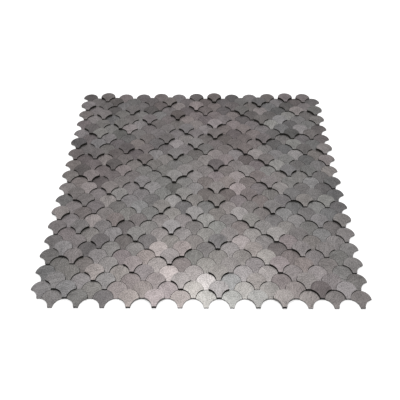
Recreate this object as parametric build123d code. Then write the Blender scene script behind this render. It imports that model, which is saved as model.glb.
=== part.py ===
from build123d import *
import os
from math import atan2, cos, degrees, radians, sin, sqrt

# Self-adhesive mosaic sheet of fan-shaped metal pieces, lying face up.
# Millimetres. +Z is up out of the face, +Y is the way that the fans' round tops point,
# and the origin is in the middle of the sheet, on the surface that it lies on.

# The lattice of fans
COLUMNS = 13
ROWS = 34
PITCH = 22.0            # from one fan to the next in a row
FOOT_WIDTH = 4.0        # of a fan at its foot
JOINT = 0.2             # open joint between neighbouring fans
ARC_SIDES = 3           # straight sides that make up a fan's round edge, from foot to tip

# Thicknesses of the fans
THIN = 1.0
MIDDLE = 2.0
THICK = 3.0

# What the fans are stuck on
LINER_THICKNESS = 0.1
BACKING_THICKNESS = 0.5
SHEET_INSET = 0.3       # of the backing and the liner, inside the fans' outline

# The relief is two strips of rows, each laid several times up the sheet. In a strip the
# first line is its lowest row, and each letter is a fan: - thin, o middle, # thick.
STRIPS = {
    "A": (
        "#-o-o#--o-#o-",
        "-o#-o--#--o--",
        "--o#---o-#o-o",
        "o#o--#---o---",
    ),
    "B": (
        "--#o--o-#--o#",
        "#o--o-#-o--o-",
        "-o-o#---o#---",
        "-#--o-o#--o#o",
    ),
}
STRIP_ORDER = "BAABAABAB"   # upwards, and the first one is cut to its upper half
THICKNESS_OF = {"-": THIN, "o": MIDDLE, "#": THICK}

# Worked out from the sizes above
TOP_RADIUS = (PITCH - FOOT_WIDTH) / 2 - JOINT
SIDE_RADIUS = TOP_RADIUS + JOINT
ROW_PITCH = sqrt(SIDE_RADIUS**2 - (PITCH / 2 - TOP_RADIUS) ** 2)
FACE_BASE = LINER_THICKNESS + BACKING_THICKNESS

# Corners of a round edge, as angles about its centre: from the level of the centre up to
# where the tip of a neighbour meets it, over the top, and down the other side
TIP_ANGLE = degrees(atan2(ROW_PITCH, PITCH / 2 - TOP_RADIUS))
RISE = [TIP_ANGLE * side / ARC_SIDES for side in range(ARC_SIDES + 1)]
FALL = [180 - angle for angle in reversed(RISE)]
OVER = [*RISE, 90, *FALL]


def lattice(row, column):
    """Centre of a fan's round top. Every other row stands half a pitch to the right."""
    shift = PITCH / 2 if row % 2 == 0 else 0
    middle_x = (COLUMNS - 0.5) * PITCH / 2
    middle_y = ((ROWS - 2) * ROW_PITCH + TOP_RADIUS) / 2
    return column * PITCH + shift - middle_x, row * ROW_PITCH - middle_y


def around(centre, radius, angles):
    """Points on a circle, in the order of the angles."""
    x, y = centre
    return [(x + radius * cos(radians(a)), y + radius * sin(radians(a))) for a in angles]


def left_side(centre):
    """A fan's hollow left side, from its tip down to its heel."""
    x, y = centre
    return around((x - PITCH / 2, y - ROW_PITCH), SIDE_RADIUS, reversed(RISE))


def right_side(centre):
    """A fan's hollow right side, from its heel up to its tip."""
    x, y = centre
    return around((x + PITCH / 2, y - ROW_PITCH), SIDE_RADIUS, reversed(FALL))


def foot(centre):
    """Middle of a fan's foot, hollowed for the round top two rows below."""
    x, y = centre
    return around((x, y - 2 * ROW_PITCH), SIDE_RADIUS, [90])


def fan_outline(centre=(0, 0)):
    """Corners of one fan, anticlockwise from its right tip."""
    top = around(centre, TOP_RADIUS, OVER)
    return top + left_side(centre)[1:] + foot(centre) + right_side(centre)[:-1]


def sheet_outline():
    """Corners of the whole sheet of fans, anticlockwise from its lower left."""
    last = COLUMNS - 1
    points = []
    for column in range(COLUMNS):
        x, y = lattice(0, column)
        over_gap = OVER if column > 0 else [*RISE, 90]
        points += around((x - PITCH / 2, y - ROW_PITCH), SIDE_RADIUS, reversed(over_gap))
        points += foot((x, y))
    for row in range(0, ROWS, 2):
        points += right_side(lattice(row, last))[:-1]
        if row < ROWS - 1:
            points += around(lattice(row, last), TOP_RADIUS, RISE)
    for column in reversed(range(COLUMNS)):
        points += around(lattice(ROWS - 1, column), TOP_RADIUS, OVER)
    for row in reversed(range(1, ROWS, 2)):
        if row < ROWS - 1:
            points += around(lattice(row, 0), TOP_RADIUS, FALL)
        points += left_side(lattice(row, 0))[1:]
    return points


def prism(outline, base, thickness):
    """A flat piece of an outline, standing on a level."""
    return Pos(0, 0, base) * extrude(outline, amount=thickness)


def fan(thickness):
    """One fan, at the origin of the lattice and on top of the backing."""
    return prism(make_face(Polyline(fan_outline(), close=True)), FACE_BASE, thickness)


def relief(row, column):
    """Letter of the fan at a place in the sheet."""
    strip_rows = len(STRIPS["A"])
    number, line = divmod(row + strip_rows // 2, strip_rows)
    letters = STRIPS[STRIP_ORDER[number % len(STRIP_ORDER)]][line]
    return letters[column % len(letters)]


def fan_row(row, fans):
    """The fans of one row, which don't touch each other."""
    row_fans = []
    for column in range(COLUMNS):
        x, y = lattice(row, column)
        row_fans.append(Pos(x, y, 0) * fans[relief(row, column)])
    return Compound(children=row_fans)


def main():
    os.makedirs("parts", exist_ok=True)
    whole = make_face(Polyline(sheet_outline(), close=True))
    sheet = offset(whole, amount=-SHEET_INSET, kind=Kind.INTERSECTION)

    # The release liner peels off the adhesive backing, which carries all the fans
    export_step(prism(sheet, 0, LINER_THICKNESS), "parts/release_liner.step")
    backing = prism(sheet, LINER_THICKNESS, BACKING_THICKNESS)
    export_step(backing, "parts/adhesive_backing.step")

    fans = {letter: fan(thickness) for letter, thickness in THICKNESS_OF.items()}
    for row in range(ROWS):
        export_step(fan_row(row, fans), f"parts/fan_row_{row + 1:02d}.step")


main()
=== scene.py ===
import math
import random

import bmesh
import bpy
from bpy.props import FloatProperty, FloatVectorProperty, IntProperty, PointerProperty
from mathutils import Euler, Matrix, Vector, kdtree, noise


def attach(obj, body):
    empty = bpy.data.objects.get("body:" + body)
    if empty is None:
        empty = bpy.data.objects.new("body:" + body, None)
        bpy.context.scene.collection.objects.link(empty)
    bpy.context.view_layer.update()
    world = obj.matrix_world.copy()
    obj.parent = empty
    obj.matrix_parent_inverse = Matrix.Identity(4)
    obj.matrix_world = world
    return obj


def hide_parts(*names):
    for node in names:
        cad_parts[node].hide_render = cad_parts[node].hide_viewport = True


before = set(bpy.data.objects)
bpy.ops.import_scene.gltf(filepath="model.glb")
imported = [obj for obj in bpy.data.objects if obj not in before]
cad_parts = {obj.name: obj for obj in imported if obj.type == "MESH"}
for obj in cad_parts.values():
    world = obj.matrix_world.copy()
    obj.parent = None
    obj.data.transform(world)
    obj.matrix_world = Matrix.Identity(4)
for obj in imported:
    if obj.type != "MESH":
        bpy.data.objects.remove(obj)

bl_info = {
    "name": "Fish scale metal mosaic",
    "version": (1, 0, 0),
    "blender": (4, 5, 0),
    "location": "3D View > Sidebar > Mosaic",
    "description": "Dresses the packed mosaic sheet: fans, backing, liner and studio",
    "category": "Object",
}

MM = 0.001
WELD = 0.001 * MM           # corners closer than this are one
CLOSE = 5 * WELD            # the same, where arcs meet that were worked out apart
UP = Vector((0, 0, 1))
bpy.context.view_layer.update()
ROW_NAMES = sorted(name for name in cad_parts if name.startswith("fan_row_"))


# The lattice, read from the frame

def islands(mesh):
    """The loose pieces of a mesh, each as a list of its corners' places."""
    shape = bmesh.new()
    shape.from_mesh(mesh)
    bmesh.ops.remove_doubles(shape, verts=shape.verts, dist=WELD)
    waiting = set(shape.verts)
    pieces = []
    while waiting:
        corner = waiting.pop()
        piece, fresh = [corner], [corner]
        while fresh:
            for edge in fresh.pop().link_edges:
                for neighbour in edge.verts:
                    if neighbour in waiting:
                        waiting.remove(neighbour)
                        piece.append(neighbour)
                        fresh.append(neighbour)
        pieces.append([corner.co.copy() for corner in piece])
    shape.free()
    return pieces


def fans_in(row_name):
    """Each fan of a row, left to right: where its round top is centred, its base and its height."""
    fans = []
    for corners in islands(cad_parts[row_name].data):
        tip = max(corners, key=lambda place: place.x)
        left = min(place.x for place in corners)
        base = min(place.z for place in corners)
        top = max(place.z for place in corners)
        fans.append({
            "centre": Vector(((left + tip.x) / 2, tip.y, base)),
            "radius": (tip.x - left) / 2,
            "height": top - base,
        })
    return sorted(fans, key=lambda fan: fan["centre"].x)


LAYOUT = {name: fans_in(name) for name in ROW_NAMES}
FIRST, SECOND = LAYOUT[ROW_NAMES[0]][0], LAYOUT[ROW_NAMES[0]][1]
PITCH = SECOND["centre"].x - FIRST["centre"].x
ROW_PITCH = LAYOUT[ROW_NAMES[1]][0]["centre"].y - FIRST["centre"].y
TOP_RADIUS = FIRST["radius"]
SIDE_RADIUS = math.hypot(PITCH / 2 - TOP_RADIUS, ROW_PITCH)
ALL_FANS = [fan for fans in LAYOUT.values() for fan in fans]
TALLEST = max(fan["height"] for fan in ALL_FANS)


# Finish that is the same on every sheet

HEEL_SEGMENTS = 3           # in the rounding of a foot's corner
CALM_ROWS = 12              # nearest rows, over which the fans' variety grows to its full
CALMEST = 0.5               # variety of the nearest row, as a share of the full
WARMTH = 0.52               # of the middling fan, from the cool tint to the warm one
WARMTH_DRIFT = 0.85         # how much of it comes in patches
WARMTH_CHANCE = (0.10, 0.08)    # spread from fan to fan: in any row, and more with variety
BRUSH_STRETCH = 0.09        # of a brush line's pattern along the line
COARSE_SCALE = 0.35         # of the coarse lines, against the fine ones
COARSE_SHARE = 0.2          # of the coarse lines in the whole
BEND = 1.2 * MM             # how far a brush line wanders
STREAK = 1.5                # strength of the brush lines in the colour
CLOUD = 0.7                 # strength of the soft patches in the colour
SPECK = 1.7                 # strength of the specks in the colour
BLUE = (0.96, 0.06)         # share of blue in the least glossy fan, and what the glossiest adds
FLOOR_SIZE = 6.0            # from the middle to an edge, in metres
FLOOR_LIFT = 0.02 * MM      # keeps it clear of the liner's underside in a view from below
LAMP_TARGET = Vector((0, -0.05, 0))


# What a user would change

class FanSettings(bpy.types.PropertyGroup):
    """Shape of the fans."""
    bevel: FloatProperty(
        name="Bevel", description="Width of the bevel round a fan's face",
        default=0.10 * MM, min=0.0, unit="LENGTH")
    heel: FloatProperty(
        name="Heel", description="How far the two corners of a foot are cut back to be round",
        default=0.7 * MM, min=0.0, unit="LENGTH")
    top_segments: IntProperty(
        name="Top segments", description="Straight stretches in a fan's round top",
        default=14, min=4)
    side_segments: IntProperty(
        name="Side segments", description="Straight stretches in each hollow side",
        default=5, min=2)
    swing: FloatVectorProperty(
        name="Swing", description="Least and greatest radius of the arcs that a fan is brushed in",
        subtype="XYZ", size=2, default=(18 * MM, 80 * MM), unit="LENGTH")
    seed: IntProperty(
        name="Seed", description="Picks the fans' shades and brushing", default=11)


class MetalSettings(bpy.types.PropertyGroup):
    """Finish of the fans' faces."""
    level: FloatProperty(
        name="Level", description="How light the middling fan is", subtype="FACTOR",
        default=0.27, min=0.0, max=1.0)
    spread: FloatProperty(
        name="Spread", description="How much the fans differ in lightness, as a share",
        default=0.19, min=0.0)
    drift: FloatProperty(
        name="Drift", description="Size of the patches of warmer and cooler fans",
        default=75 * MM, min=MM, unit="LENGTH")
    standout: FloatProperty(
        name="Standout", description="How far the light and dark fans stand out, as a share",
        default=0.38, min=0.0)
    rarity: FloatProperty(
        name="Rarity", description="Share of the fans that stand out as light, and as dark",
        subtype="FACTOR", default=0.038, min=0.0, max=0.5)
    warm: FloatVectorProperty(
        name="Warm", description="Tint of the brownish and pinkish fans", subtype="COLOR",
        size=3, min=0.0, max=1.0, default=(1.0, 0.872, 0.872))
    cool: FloatVectorProperty(
        name="Cool", description="Tint of the plain grey fans", subtype="COLOR",
        size=3, min=0.0, max=1.0, default=(0.942, 0.932, 0.922))
    roughness: FloatProperty(
        name="Roughness", description="Of the brushed face", subtype="FACTOR",
        default=0.38, min=0.0, max=1.0)
    grain: FloatProperty(
        name="Grain", description="Width of a brush line", default=0.65 * MM,
        min=0.01 * MM, unit="LENGTH")


class BackSettings(bpy.types.PropertyGroup):
    """Finish of the fans' cut sides, with painted light along the outline and painted shade at its
    foot ends, and of what lies under the fans.
    """
    core: FloatVectorProperty(
        name="Core", description="The fans' sides in the joints", subtype="COLOR",
        size=3, min=0.0, max=1.0, default=(0.034, 0.032, 0.027))
    # painted shade: the foot ends along the outline are darkened to this, fully in the nearest row
    # and more on taller fans elsewhere
    heel: FloatVectorProperty(
        name="Foot end", description="The ends of the feet along the outline", subtype="COLOR",
        size=3, min=0.0, max=1.0, default=(0.026, 0.025, 0.024))
    # painted light: the fans' cut sides along the outline get this lighter colour, standing in for
    # the pale floor's light on them; the same sides in the joints keep the dark core colour
    rim: FloatVectorProperty(
        name="Rim", description="The hollow sides along the outline", subtype="COLOR",
        size=3, min=0.0, max=1.0, default=(0.310, 0.298, 0.288))
    backing: FloatVectorProperty(
        name="Backing", description="The adhesive carrier", subtype="COLOR",
        size=3, min=0.0, max=1.0, default=(0.150, 0.145, 0.138))
    liner: FloatVectorProperty(
        name="Liner", description="The coated paper that peels off", subtype="COLOR",
        size=3, min=0.0, max=1.0, default=(0.78, 0.765, 0.72))


class StageSettings(bpy.types.PropertyGroup):
    """Camera, floor and light."""
    camera_place: FloatVectorProperty(
        name="Camera", description="Where the camera stands", subtype="TRANSLATION",
        size=3, default=(0.00209, -0.36807, 0.36624))
    camera_pitch: FloatProperty(
        name="Pitch", description="How far the camera looks up from straight down",
        subtype="ANGLE", default=math.radians(42.911))
    camera_turn: FloatProperty(
        name="Turn", description="Turn of the camera about the upright",
        subtype="ANGLE", default=math.radians(0.407))
    camera_roll: FloatProperty(
        name="Roll", description="Turn of the camera about the way it looks",
        subtype="ANGLE", default=math.radians(-0.158))
    focal_length: FloatProperty(
        name="Focal length", description="In mm, on a 36 mm sensor", default=44.370)
    floor: FloatVectorProperty(
        name="Floor", description="Plain pale floor", subtype="COLOR",
        size=3, min=0.0, max=1.0, default=(0.86, 0.86, 0.86))
    floor_glow: FloatProperty(
        name="Floor glow", description="What the camera sees added to the floor",
        default=0.58, min=0.0)
    world: FloatProperty(
        name="World", description="Strength of the even light all round", default=0.515, min=0.0)
    world_tint: FloatVectorProperty(
        name="World tint", description="Colour of the even light", subtype="COLOR",
        size=3, min=0.0, max=1.0, default=(1.0, 0.985, 1.0))
    softbox_tint: FloatVectorProperty(
        name="Softbox tint", description="Colour of both lamps", subtype="COLOR",
        size=3, min=0.0, max=1.0, default=(0.985, 1.0, 0.980))
    softbox: FloatProperty(
        name="Softbox", description="Power of the lamp above the sheet, in watts",
        default=1.8, min=0.0)
    softbox_size: FloatVectorProperty(
        name="Softbox size", description="Width and depth of the lamp", subtype="XYZ",
        size=2, default=(0.30, 0.26), unit="LENGTH")
    softbox_place: FloatVectorProperty(
        name="Softbox place", description="Where the lamp hangs", subtype="TRANSLATION",
        size=3, default=(0.0, 0.15, 0.78))
    fill: FloatProperty(
        name="Fill", description="Power of the weak lamp behind the softbox, in watts",
        default=0.30, min=0.0)
    fill_size: FloatVectorProperty(
        name="Fill size", description="Width and depth of the weak lamp", subtype="XYZ",
        size=2, default=(0.75, 0.30), unit="LENGTH")
    fill_place: FloatVectorProperty(
        name="Fill place", description="Where the weak lamp hangs", subtype="TRANSLATION",
        size=3, default=(0.0, 0.68, 0.80))


# Meshes

def spin_on(shape, corner, centre, angle, segments):
    """Carries a chain of edges on from a corner, round a centre, and gives its new end."""
    spun = bmesh.ops.spin(
        shape, geom=[corner], cent=centre, axis=UP, dvec=(0, 0, 0),
        angle=angle, steps=segments, use_merge=False)
    return next(item for item in spun["geom_last"] if isinstance(item, bmesh.types.BMVert))


def fan_mesh(height, settings):
    """One fan with its round top centred on the origin, standing on the ground."""
    step = Vector((PITCH / 2, ROW_PITCH, 0))
    tilt = math.atan2(step.y, step.x)
    reach = math.acos(step.length / 2 / SIDE_RADIUS)
    tip_angle = math.atan2(ROW_PITCH, PITCH / 2 - TOP_RADIUS)
    heel_angle = reach - tilt
    foot_angle = 2 * (math.pi / 2 - tilt - reach)

    shape = bmesh.new()
    first = shape.verts.new((TOP_RADIUS, 0, 0))
    corner = spin_on(shape, first, (0, 0, 0), math.pi, settings.top_segments)
    corner = spin_on(
        shape, corner, (-PITCH / 2, -ROW_PITCH, 0), heel_angle - tip_angle,
        settings.side_segments)
    corner = spin_on(shape, corner, (0, -2 * ROW_PITCH, 0), -abs(foot_angle), 2)
    spin_on(
        shape, corner, (PITCH / 2, -ROW_PITCH, 0), heel_angle - tip_angle,
        settings.side_segments)
    bmesh.ops.remove_doubles(shape, verts=shape.verts, dist=CLOSE)
    bmesh.ops.contextual_create(shape, geom=shape.edges[:])
    lowest = min(corner.co.y for corner in shape.verts)
    heels = [corner for corner in shape.verts if corner.co.y < lowest + CLOSE]
    bmesh.ops.bevel(
        shape, geom=heels, offset=settings.heel, offset_type="OFFSET", segments=HEEL_SEGMENTS,
        profile=0.5, affect="VERTICES", material=-1, clamp_overlap=True)

    raised = bmesh.ops.extrude_face_region(shape, geom=shape.faces[:])
    top = [item for item in raised["geom"] if isinstance(item, bmesh.types.BMVert)]
    bmesh.ops.translate(shape, verts=top, vec=(0, 0, height))
    bmesh.ops.recalc_face_normals(shape, faces=shape.faces)
    rim = [edge for edge in shape.edges if all(corner.co.z > height / 2 for corner in edge.verts)]
    bmesh.ops.bevel(
        shape, geom=rim, offset=settings.bevel, offset_type="OFFSET", segments=1,
        profile=0.5, affect="EDGES", material=-1, clamp_overlap=True)
    for face in shape.faces:
        face.material_index = 0 if face.normal.z > 0.3 else 1
    mesh = bpy.data.meshes.new("fan")
    shape.to_mesh(mesh)
    shape.free()
    return mesh


def shade_of(row, centre, dice, settings):
    """Lightness as a multiple of the middling fan's, and warmth and gloss from 0 to 1."""
    variety = CALMEST + (1 - CALMEST) * min(row / CALM_ROWS, 1.0)
    spread = settings.spread * variety
    change = min(max(dice.gauss(0, spread), -2 * spread), 2 * spread)
    luck = dice.random()
    if luck < settings.rarity:
        change = settings.standout + change / 3
    elif luck > 1 - settings.rarity:
        change = -settings.standout + change / 3
    drift = noise.noise(centre / settings.drift)
    chance = dice.gauss(0, WARMTH_CHANCE[0] + WARMTH_CHANCE[1] * variety)
    warmth = min(max(WARMTH + WARMTH_DRIFT * drift + chance, 0.0), 1.0)
    return math.exp(change), warmth, dice.random()


def faces_out(face, place, centres):
    """Whether a fan's side face lies along the outline of the sheet, with no fan beyond it."""
    beyond = place + face.calc_center_median() + face.normal * MM
    beyond.z = 0
    near = centres.find_n(beyond, 2)
    own = place.xy
    others = [gap for centre, index, gap in near if (centre.xy - own).length > MM]
    return min(others) > SIDE_RADIUS + 0.2 * MM


def heel_level(settings):
    """Y below which a face belongs to a fan's foot end."""
    return SIDE_RADIUS - 2 * ROW_PITCH + settings.heel / 4


def finish_piece(name, shape, materials, replaced):
    """Makes an object of a bmesh, and tells the frame what it is."""
    mesh = bpy.data.meshes.new(name)
    shape.to_mesh(mesh)
    shape.free()
    for material in materials:
        mesh.materials.append(material)
    piece = bpy.data.objects.new(name, mesh)
    bpy.context.scene.collection.objects.link(piece)
    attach(piece, "root")
    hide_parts(replaced)
    return piece


# Materials

class Nodes:
    """A short way to write a node tree."""

    def __init__(self, tree):
        self.tree = tree

    def add(self, kind, **inputs):
        """Adds a node. Each name is one of its inputs or properties, with underscores for spaces."""
        node = self.tree.nodes.new(kind)
        for name, value in inputs.items():
            if hasattr(node, name):
                setattr(node, name, value)
                continue
            socket = node.inputs[name.replace("_", " ")]
            if isinstance(value, bpy.types.NodeSocket):
                self.tree.links.new(value, socket)
            else:
                socket.default_value = value
        return node

    def math(self, kind, *values):
        """A Math node's result."""
        node = self.tree.nodes.new("ShaderNodeMath")
        node.operation = kind
        for socket, value in zip(node.inputs, values):
            if isinstance(value, bpy.types.NodeSocket):
                self.tree.links.new(value, socket)
            else:
                socket.default_value = value
        return node.outputs[0]

    def mix(self, factor, first, second, blend="MIX"):
        """A colour mix."""
        node = self.tree.nodes.new("ShaderNodeMix")
        node.data_type = "RGBA"
        node.blend_type = blend
        sockets = (node.inputs[0], node.inputs[6], node.inputs[7])
        for socket, value in zip(sockets, (factor, first, second)):
            if isinstance(value, bpy.types.NodeSocket):
                self.tree.links.new(value, socket)
            else:
                socket.default_value = value
        return node.outputs[2]


def new_group(name, inputs, outputs):
    """An empty shader node group, with its inputs as (name, type, default)."""
    tree = bpy.data.node_groups.new(name, "ShaderNodeTree")
    for label, kind, default in inputs:
        socket = tree.interface.new_socket(label, in_out="INPUT", socket_type=kind)
        if default is not None:
            socket.default_value = default
    for label, kind in outputs:
        tree.interface.new_socket(label, in_out="OUTPUT", socket_type=kind)
    source = tree.nodes.new("NodeGroupInput")
    result = tree.nodes.new("NodeGroupOutput")
    return Nodes(tree), source.outputs, result.inputs


def brushed_group():
    """Fine lines in long arcs round the vector's origin, which wander and come and go."""
    nodes, given, result = new_group(
        "Brushed lines",
        [("Vector", "NodeSocketVector", None), ("Line width", "NodeSocketFloat", 0.3 * MM),
         ("Sheet", "NodeSocketFloat", 0.0)],
        [("Lines", "NodeSocketFloat"), ("Height", "NodeSocketFloat")])
    scale = nodes.math("DIVIDE", 1.0, given["Line width"])
    bend = nodes.add(
        "ShaderNodeTexNoise", Vector=given["Vector"], Scale=160.0, Detail=1.0).outputs[0]
    bend = nodes.math("MULTIPLY", nodes.math("SUBTRACT", bend, 0.5), BEND)
    parts = nodes.add("ShaderNodeSeparateXYZ", Vector=given["Vector"]).outputs
    distance = nodes.math(
        "SQRT", nodes.math(
            "ADD", nodes.math("MULTIPLY", parts[0], parts[0]),
            nodes.math("MULTIPLY", parts[1], parts[1])))
    along = nodes.math("MULTIPLY", nodes.math("ARCTAN2", parts[1], parts[0]), distance)
    lined = nodes.add(
        "ShaderNodeCombineXYZ", X=nodes.math("MULTIPLY", along, BRUSH_STRETCH),
        Y=nodes.math("ADD", distance, bend), Z=given["Sheet"]).outputs[0]
    coarse = nodes.add(
        "ShaderNodeTexNoise", Vector=lined, Scale=nodes.math("MULTIPLY", scale, COARSE_SCALE),
        Detail=2.0, Roughness=0.6).outputs[0]
    fine = nodes.add(
        "ShaderNodeTexNoise", Vector=lined, Scale=scale, Detail=3.0, Roughness=0.7).outputs[0]
    both = nodes.math(
        "ADD", nodes.math("MULTIPLY", coarse, COARSE_SHARE),
        nodes.math("MULTIPLY", fine, 1 - COARSE_SHARE))
    nodes.tree.links.new(both, result["Lines"])
    nodes.tree.links.new(fine, result["Height"])
    return nodes.tree


def mottle_group():
    """Soft uneven patches and fine specks, each about 0.5 on average."""
    nodes, given, result = new_group(
        "Mottle",
        [("Vector", "NodeSocketVector", None), ("Patch size", "NodeSocketFloat", 4 * MM),
         ("Speck size", "NodeSocketFloat", 0.4 * MM)],
        [("Patches", "NodeSocketFloat"), ("Specks", "NodeSocketFloat")])
    for label, size, detail in (("Patches", "Patch size", 3.0), ("Specks", "Speck size", 1.0)):
        pattern = nodes.add(
            "ShaderNodeTexNoise", Vector=given["Vector"],
            Scale=nodes.math("DIVIDE", 1.0, given[size]), Detail=detail)
        nodes.tree.links.new(pattern.outputs[0], result[label])
    return nodes.tree


def new_material(name):
    """A material with its Principled shader and the other nodes still to come."""
    material = bpy.data.materials.new(name)
    material.use_nodes = True
    tree = material.node_tree
    shader = next(node for node in tree.nodes if node.type == "BSDF_PRINCIPLED")
    return material, Nodes(tree), shader


def place_group(nodes, group, **inputs):
    """Puts a node group in a material."""
    node = nodes.tree.nodes.new("ShaderNodeGroup")
    node.node_tree = group
    for name, value in inputs.items():
        socket = node.inputs[name.replace("_", " ")]
        if isinstance(value, bpy.types.NodeSocket):
            nodes.tree.links.new(value, socket)
        else:
            socket.default_value = value
    return node.outputs


def opaque(colour):
    """A colour with an alpha of 1."""
    return (*colour, 1.0)


def brushed_metal(settings, lines_group, patches_group):
    """Brushed faces: each fan has its own shade, tint, gloss and way of the lines."""
    material, nodes, shader = new_material("brushed metal")
    tone = nodes.add("ShaderNodeAttribute", attribute_name="shade").outputs["Color"]
    lightness, warmth, gloss = nodes.add("ShaderNodeSeparateColor", Color=tone).outputs[:3]
    brush = nodes.add("ShaderNodeUVMap", uv_map="brush").outputs[0]
    lines = place_group(
        nodes, lines_group, Vector=brush, Line_width=settings.grain, Sheet=lightness)
    mottle = place_group(
        nodes, patches_group, Vector=brush, Patch_size=9 * MM, Speck_size=0.9 * MM)

    streak = nodes.math("MULTIPLY", nodes.math("SUBTRACT", lines["Lines"], 0.5), STREAK)
    cloud = nodes.math("MULTIPLY", nodes.math("SUBTRACT", mottle["Patches"], 0.5), CLOUD)
    speck = nodes.math("MULTIPLY", nodes.math("SUBTRACT", mottle["Specks"], 0.5), SPECK)
    uneven = nodes.math(
        "ADD", nodes.math("ADD", streak, cloud), nodes.math("ADD", speck, 1.0))
    level = nodes.math("MULTIPLY", nodes.math("MULTIPLY", lightness, uneven), settings.level)
    blue = nodes.math("ADD", BLUE[0], nodes.math("MULTIPLY", gloss, BLUE[1]))
    grey = nodes.add(
        "ShaderNodeCombineColor", Red=level, Green=level,
        Blue=nodes.math("MULTIPLY", level, blue)).outputs[0]
    tint = nodes.mix(warmth, opaque(settings.cool), opaque(settings.warm))
    colour = nodes.mix(1.0, grey, tint, "MULTIPLY")
    nodes.tree.links.new(colour, shader.inputs["Base Color"])

    rough = nodes.math("ADD", settings.roughness - 0.04, nodes.math("MULTIPLY", gloss, 0.08))
    rough = nodes.math("ADD", rough, nodes.math("MULTIPLY", streak, 0.15))
    nodes.tree.links.new(rough, shader.inputs["Roughness"])
    shader.inputs["Metallic"].default_value = 1.0
    bump = nodes.add(
        "ShaderNodeBump", Height=lines["Height"], Strength=0.35, Distance=0.04 * MM)
    nodes.tree.links.new(bump.outputs[0], shader.inputs["Normal"])
    return material


def cut_edge(settings, patches_group):
    """Sides of the fans: dark in the joints; along the outline of the sheet painted lighter,
    standing in for the pale floor's light, with painted shade at the foot ends.
    """
    material, nodes, shader = new_material("cut edge")
    place = nodes.add("ShaderNodeTexCoord").outputs["Object"]
    mottle = place_group(
        nodes, patches_group, Vector=place, Patch_size=2 * MM, Speck_size=0.25 * MM)
    tone = nodes.add("ShaderNodeAttribute", attribute_name="shade").outputs["Color"]
    # red: where painted light goes on the sides along the outline; green: how much painted shade
    # goes on a foot end there
    rim, heel = nodes.add("ShaderNodeSeparateColor", Color=tone).outputs[:2]
    # painted light: outline sides are mixed from the dark core to the lighter rim colour
    colour = nodes.mix(rim, opaque(settings.core), opaque(settings.rim))
    # painted shade at the foot ends along the outline
    colour = nodes.mix(heel, colour, opaque(settings.heel))
    # uneven patches multiplied over the colour, which holds the painted light and shade of the
    # outline
    worn_and_painted_light = nodes.mix(1.0, colour, nodes.mix(mottle["Patches"], (0.7, 0.7, 0.7, 1), (1, 1, 1, 1)),
                     "MULTIPLY")
    nodes.tree.links.new(worn_and_painted_light, shader.inputs["Base Color"])
    rough = nodes.math("ADD", 0.6, nodes.math("MULTIPLY", mottle["Specks"], 0.2))
    nodes.tree.links.new(rough, shader.inputs["Roughness"])
    shader.inputs["Specular IOR Level"].default_value = 0.2
    bump = nodes.add(
        "ShaderNodeBump", Height=mottle["Specks"], Strength=0.4, Distance=0.02 * MM)
    nodes.tree.links.new(bump.outputs[0], shader.inputs["Normal"])
    return material


def matt_material(name, colour, patches_group, patch, speck, uneven, roughness, depth):
    """A plain matt surface: uneven colour, fine specks and a slight tooth."""
    material, nodes, shader = new_material(name)
    place = nodes.add("ShaderNodeTexCoord").outputs["Object"]
    mottle = place_group(
        nodes, patches_group, Vector=place, Patch_size=patch, Speck_size=speck)
    level = nodes.math(
        "ADD", nodes.math("MULTIPLY", mottle["Patches"], 0.6),
        nodes.math("MULTIPLY", mottle["Specks"], 0.4))
    darker = opaque([part * (1 - uneven) for part in colour])
    lighter = opaque([min(part * (1 + uneven), 1.0) for part in colour])
    nodes.tree.links.new(nodes.mix(level, darker, lighter), shader.inputs["Base Color"])
    rough = nodes.math("ADD", roughness - 0.1, nodes.math("MULTIPLY", mottle["Specks"], 0.2))
    nodes.tree.links.new(rough, shader.inputs["Roughness"])
    bump = nodes.add("ShaderNodeBump", Height=mottle["Specks"], Strength=0.4, Distance=depth)
    nodes.tree.links.new(bump.outputs[0], shader.inputs["Normal"])
    return material


def shared(name, make):
    """A node group or material that is made once."""
    for store in (bpy.data.node_groups, bpy.data.materials):
        if name in store:
            return store[name]
    return make()


def groups():
    """The two effects that the materials share."""
    return shared("Brushed lines", brushed_group), shared("Mottle", mottle_group)


# Operators

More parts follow.
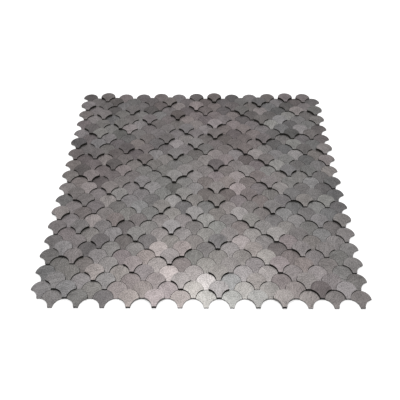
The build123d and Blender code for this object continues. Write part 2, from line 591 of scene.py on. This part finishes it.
class MOSAIC_OT_fans(bpy.types.Operator):
    """Make every fan of the sheet, row by row, in place of the plain ones"""
    bl_idname = "mosaic.fans"
    bl_label = "Fans"

    def execute(self, context):
        scene = context.scene
        settings = scene.mosaic_fans
        lines_group, patches_group = groups()
        finish = brushed_metal(scene.mosaic_metal, lines_group, patches_group)
        side = cut_edge(scene.mosaic_back, patches_group)
        dice = random.Random(settings.seed)
        centres = kdtree.KDTree(len(ALL_FANS))
        for fan in ALL_FANS:
            centres.insert((*fan["centre"].xy, 0), 0)
        centres.balance()
        moulds = {}
        for row, row_name in enumerate(ROW_NAMES):
            shape = bmesh.new()
            brush = shape.loops.layers.uv.new("brush")
            shade = shape.loops.layers.float_color.new("shade")
            for fan in LAYOUT[row_name]:
                height = round(fan["height"] / WELD) * WELD
                # how much painted shade darkens a foot end on the outline: all of it in the nearest
                # row, else more on taller fans
                foot_shade_share = 1.0 if row == 0 else (height / TALLEST) ** 2
                if height not in moulds:
                    moulds[height] = fan_mesh(height, settings)
                first_face = len(shape.faces)
                first_corner = len(shape.verts)
                shape.from_mesh(moulds[height])
                shape.verts.ensure_lookup_table()
                shape.faces.ensure_lookup_table()
                turn = Matrix.Rotation(dice.uniform(0, math.tau), 2)
                shift = Vector((dice.uniform(*settings.swing), 0))
                face_shade = (*shade_of(row, fan["centre"], dice, scene.mosaic_metal), 1.0)
                for face in shape.faces[first_face:]:
                    colour = face_shade
                    if face.material_index == 1:
                        # outer: where the sides get painted light along the outline
                        outer = faces_out(face, fan["centre"], centres)
                        heel = face.calc_center_median().y < heel_level(settings)
                        # red: painted light along the outline; green: painted shade at the foot
                        # ends, deeper on taller fans
                        colour = (float(outer), foot_shade_share * float(outer and heel), 0.0, 1.0)
                    for loop in face.loops:
                        loop[brush].uv = turn @ loop.vert.co.xy + shift
                        loop[shade] = colour
                bmesh.ops.translate(
                    shape, verts=shape.verts[first_corner:], vec=fan["centre"])
            finish_piece(
                f"{row_name}_brushed", shape, (finish, side), row_name)
        for mould in moulds.values():
            bpy.data.meshes.remove(mould)
        return {"FINISHED"}


class MOSAIC_OT_sheets(bpy.types.Operator):
    """Finish the adhesive backing and the liner that peels off it"""
    bl_idname = "mosaic.sheets"
    bl_label = "Backing and liner"

    def execute(self, context):
        colours = context.scene.mosaic_back
        patches_group = groups()[1]
        looks = {
            "adhesive_backing": matt_material(
                "adhesive backing", colours.backing, patches_group, 3 * MM, 0.3 * MM,
                0.35, 0.75, 0.03 * MM),
            "release_liner": matt_material(
                "coated liner paper", colours.liner, patches_group, 14 * MM, 0.5 * MM,
                0.05, 0.42, 0.008 * MM),
        }
        for node_name, material in looks.items():
            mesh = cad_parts[node_name].data
            mesh.materials.clear()
            mesh.materials.append(material)
        return {"FINISHED"}


class MOSAIC_OT_stage(bpy.types.Operator):
    """Set up the camera, the pale floor and the soft light"""
    bl_idname = "mosaic.stage"
    bl_label = "Stage"

    def execute(self, context):
        settings = context.scene.mosaic_stage
        self.camera(context, settings)
        self.floor(context, settings)
        self.light(context, settings)
        context.scene.view_settings.view_transform = "Standard"
        return {"FINISHED"}

    def camera(self, context, settings):
        data = bpy.data.cameras.new("camera")
        data.lens = settings.focal_length
        data.sensor_width = 36.0
        data.clip_start = 0.01
        camera = bpy.data.objects.new("camera", data)
        camera.location = settings.camera_place
        way = Euler((settings.camera_pitch, 0, settings.camera_turn)).to_matrix()
        roll = Matrix.Rotation(settings.camera_roll, 3, "Z")
        camera.rotation_euler = (way @ roll).to_euler()
        context.scene.collection.objects.link(camera)
        context.scene.camera = camera

    def floor(self, context, settings):
        shape = bmesh.new()
        bmesh.ops.create_grid(shape, x_segments=1, y_segments=1, size=FLOOR_SIZE)
        bmesh.ops.translate(shape, verts=shape.verts, vec=(0, 0, FLOOR_LIFT))
        mesh = bpy.data.meshes.new("floor")
        shape.to_mesh(mesh)
        shape.free()
        material, nodes, shader = new_material("pale floor")
        shader.inputs["Base Color"].default_value = opaque(settings.floor)
        shader.inputs["Roughness"].default_value = 0.9
        shader.inputs["Specular IOR Level"].default_value = 0.1
        ray = nodes.add("ShaderNodeLightPath").outputs
        seen = nodes.math(
            "MAXIMUM", ray["Is Camera Ray"], nodes.math(
                "MAXIMUM", ray["Is Glossy Ray"], ray["Is Transmission Ray"]))
        glow = nodes.add("ShaderNodeEmission", Color=(1, 1, 1, 1)).outputs[0]
        strength = nodes.math("MULTIPLY", seen, settings.floor_glow)
        nodes.tree.links.new(strength, glow.node.inputs["Strength"])
        both = nodes.tree.nodes.new("ShaderNodeAddShader")
        nodes.tree.links.new(shader.outputs[0], both.inputs[0])
        nodes.tree.links.new(glow, both.inputs[1])
        output = next(node for node in nodes.tree.nodes if node.type == "OUTPUT_MATERIAL")
        nodes.tree.links.new(both.outputs[0], output.inputs["Surface"])
        mesh.materials.append(material)
        floor = bpy.data.objects.new("floor", mesh)
        context.scene.collection.objects.link(floor)

    def light(self, context, settings):
        world = bpy.data.worlds.new("studio")
        world.use_nodes = True
        background = world.node_tree.nodes["Background"]
        background.inputs["Color"].default_value = opaque(settings.world_tint)
        background.inputs["Strength"].default_value = settings.world
        context.scene.world = world
        for name in ("softbox", "fill"):
            data = bpy.data.lights.new(name, "AREA")
            data.shape = "RECTANGLE"
            data.size, data.size_y = getattr(settings, f"{name}_size")
            data.energy = getattr(settings, name)
            data.color = settings.softbox_tint
            lamp = bpy.data.objects.new(name, data)
            lamp.location = getattr(settings, f"{name}_place")
            way = LAMP_TARGET - lamp.location
            lamp.rotation_euler = way.to_track_quat("-Z", "Y").to_euler()
            context.scene.collection.objects.link(lamp)


class MOSAIC_PT_panel(bpy.types.Panel):
    """Lists the steps and their settings"""
    bl_idname = "MOSAIC_PT_panel"
    bl_label = "Metal mosaic"
    bl_space_type = "VIEW_3D"
    bl_region_type = "UI"
    bl_category = "Mosaic"

    def draw(self, context):
        steps = (
            (MOSAIC_OT_fans, ("mosaic_fans", "mosaic_metal")),
            (MOSAIC_OT_sheets, ("mosaic_back",)),
            (MOSAIC_OT_stage, ("mosaic_stage",)),
        )
        for step, group_names in steps:
            box = self.layout.box()
            box.operator(step.bl_idname)
            for group_name in group_names:
                settings = getattr(context.scene, group_name)
                for name in settings.__annotations__:
                    box.prop(settings, name)


SETTINGS = {
    "mosaic_fans": FanSettings,
    "mosaic_metal": MetalSettings,
    "mosaic_back": BackSettings,
    "mosaic_stage": StageSettings,
}
OTHER_CLASSES = (MOSAIC_OT_fans, MOSAIC_OT_sheets, MOSAIC_OT_stage, MOSAIC_PT_panel)


def register():
    for name, group in SETTINGS.items():
        bpy.utils.register_class(group)
        setattr(bpy.types.Scene, name, PointerProperty(type=group))
    for item in OTHER_CLASSES:
        bpy.utils.register_class(item)


def unregister():
    for item in reversed(OTHER_CLASSES):
        bpy.utils.unregister_class(item)
    for name, group in SETTINGS.items():
        delattr(bpy.types.Scene, name)
        bpy.utils.unregister_class(group)


def main():
    register()
    bpy.ops.mosaic.stage()
    bpy.ops.mosaic.sheets()
    bpy.ops.mosaic.fans()


if __name__ == "__main__":
    main()
